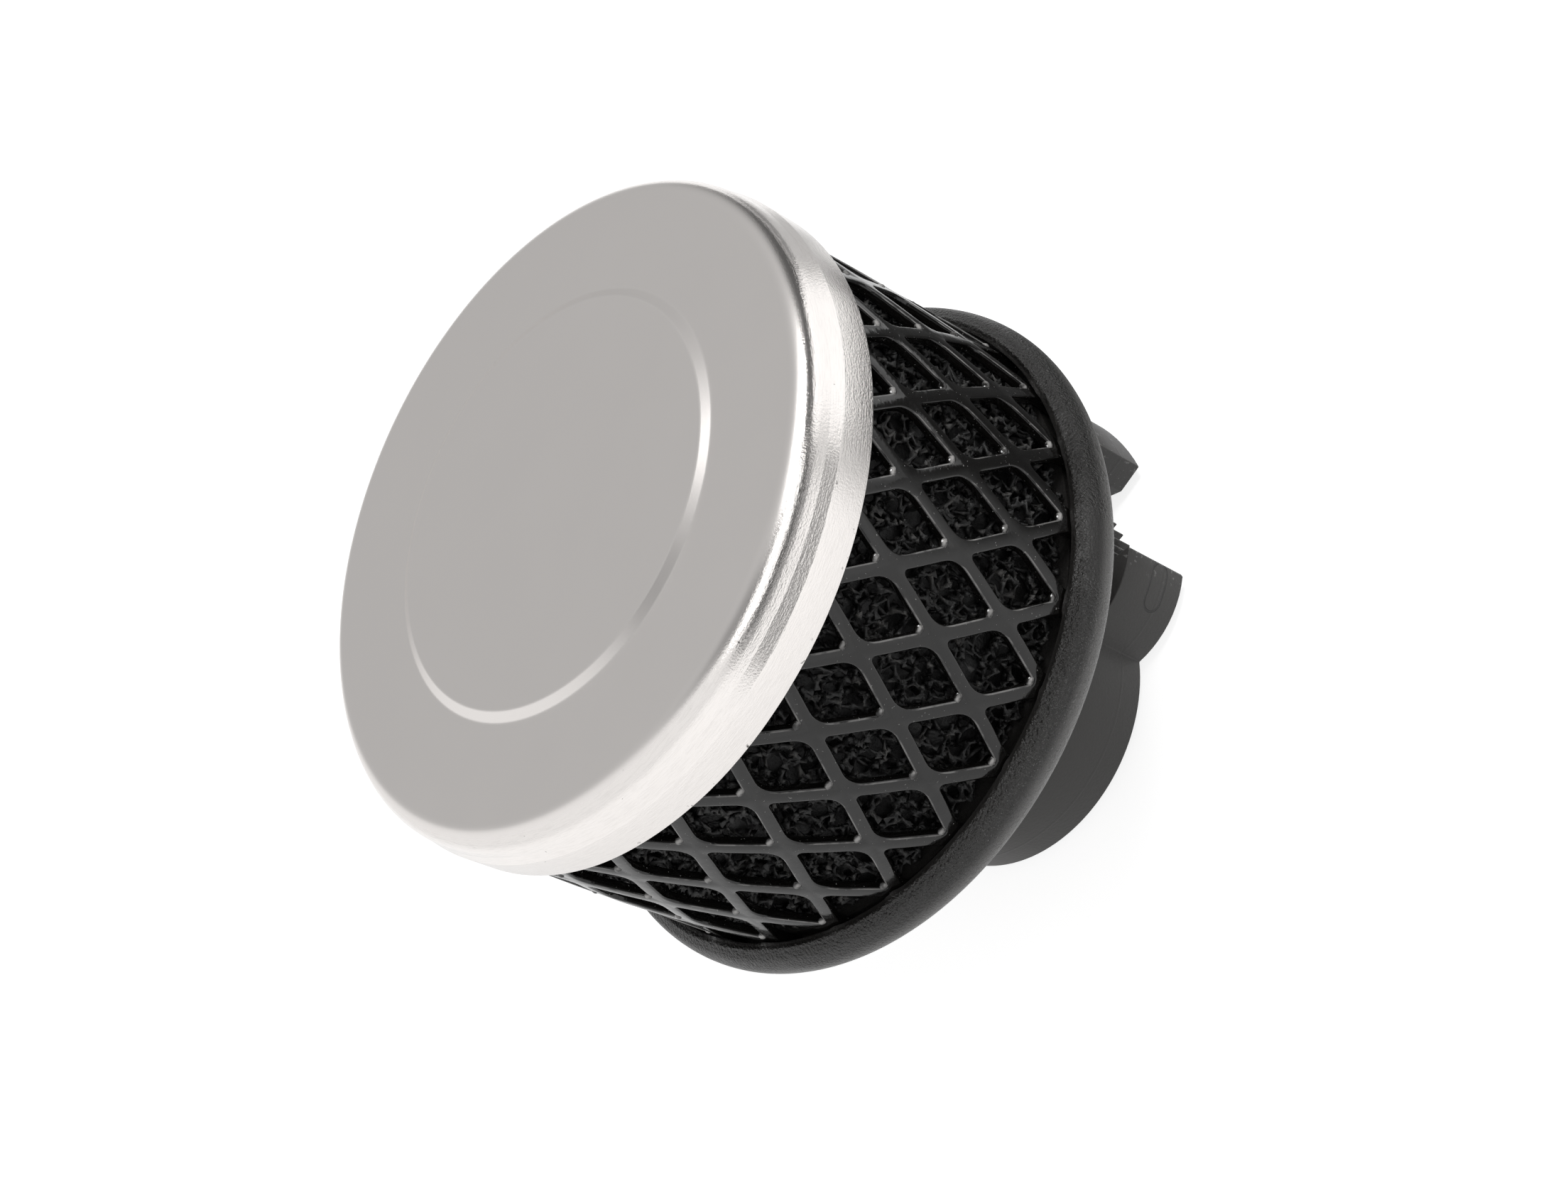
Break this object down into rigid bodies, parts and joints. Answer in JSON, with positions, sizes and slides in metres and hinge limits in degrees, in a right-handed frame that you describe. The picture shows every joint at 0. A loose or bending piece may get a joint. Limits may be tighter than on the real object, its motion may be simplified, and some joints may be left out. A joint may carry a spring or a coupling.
{
  "type": "crankcase breather filter",
  "caption": "Round clamp-on breather filter: rubber neck and flange, expanded metal guard round a foam sleeve, pressed aluminium end cap and a ratchet hose clip on the neck.",
  "frame": {"origin": "middle of the neck's mouth, on the surface that the neck's end stands on", "axes": "+Z runs along the neck up to the end cap; -Y is the side that faces the picture's camera; the clip closes towards +X"},
  "size_m": [0.0522, 0.0522, 0.0504],
  "materials": {
    "base_rubber": "black moulded rubber, dull and slightly streaked",
    "cap_aluminium": "pressed aluminium, satin face, bright rolled edge",
    "bonding_resin": "cast polyurethane resin, black",
    "filter_foam": "coarse open-cell foam, black",
    "coated_mesh": "expanded steel with a glossy black dip coat",
    "clip_nylon": "moulded black nylon, satin"
  },
  "bodies": {
    "root": {"rubber_base": "base_rubber", "end_cap": "cap_aluminium", "cap_potting": "bonding_resin", "foam_element": "filter_foam", "mesh_guard": "coated_mesh", "hose_clip": "clip_nylon"}
  },
  "joints": []
}
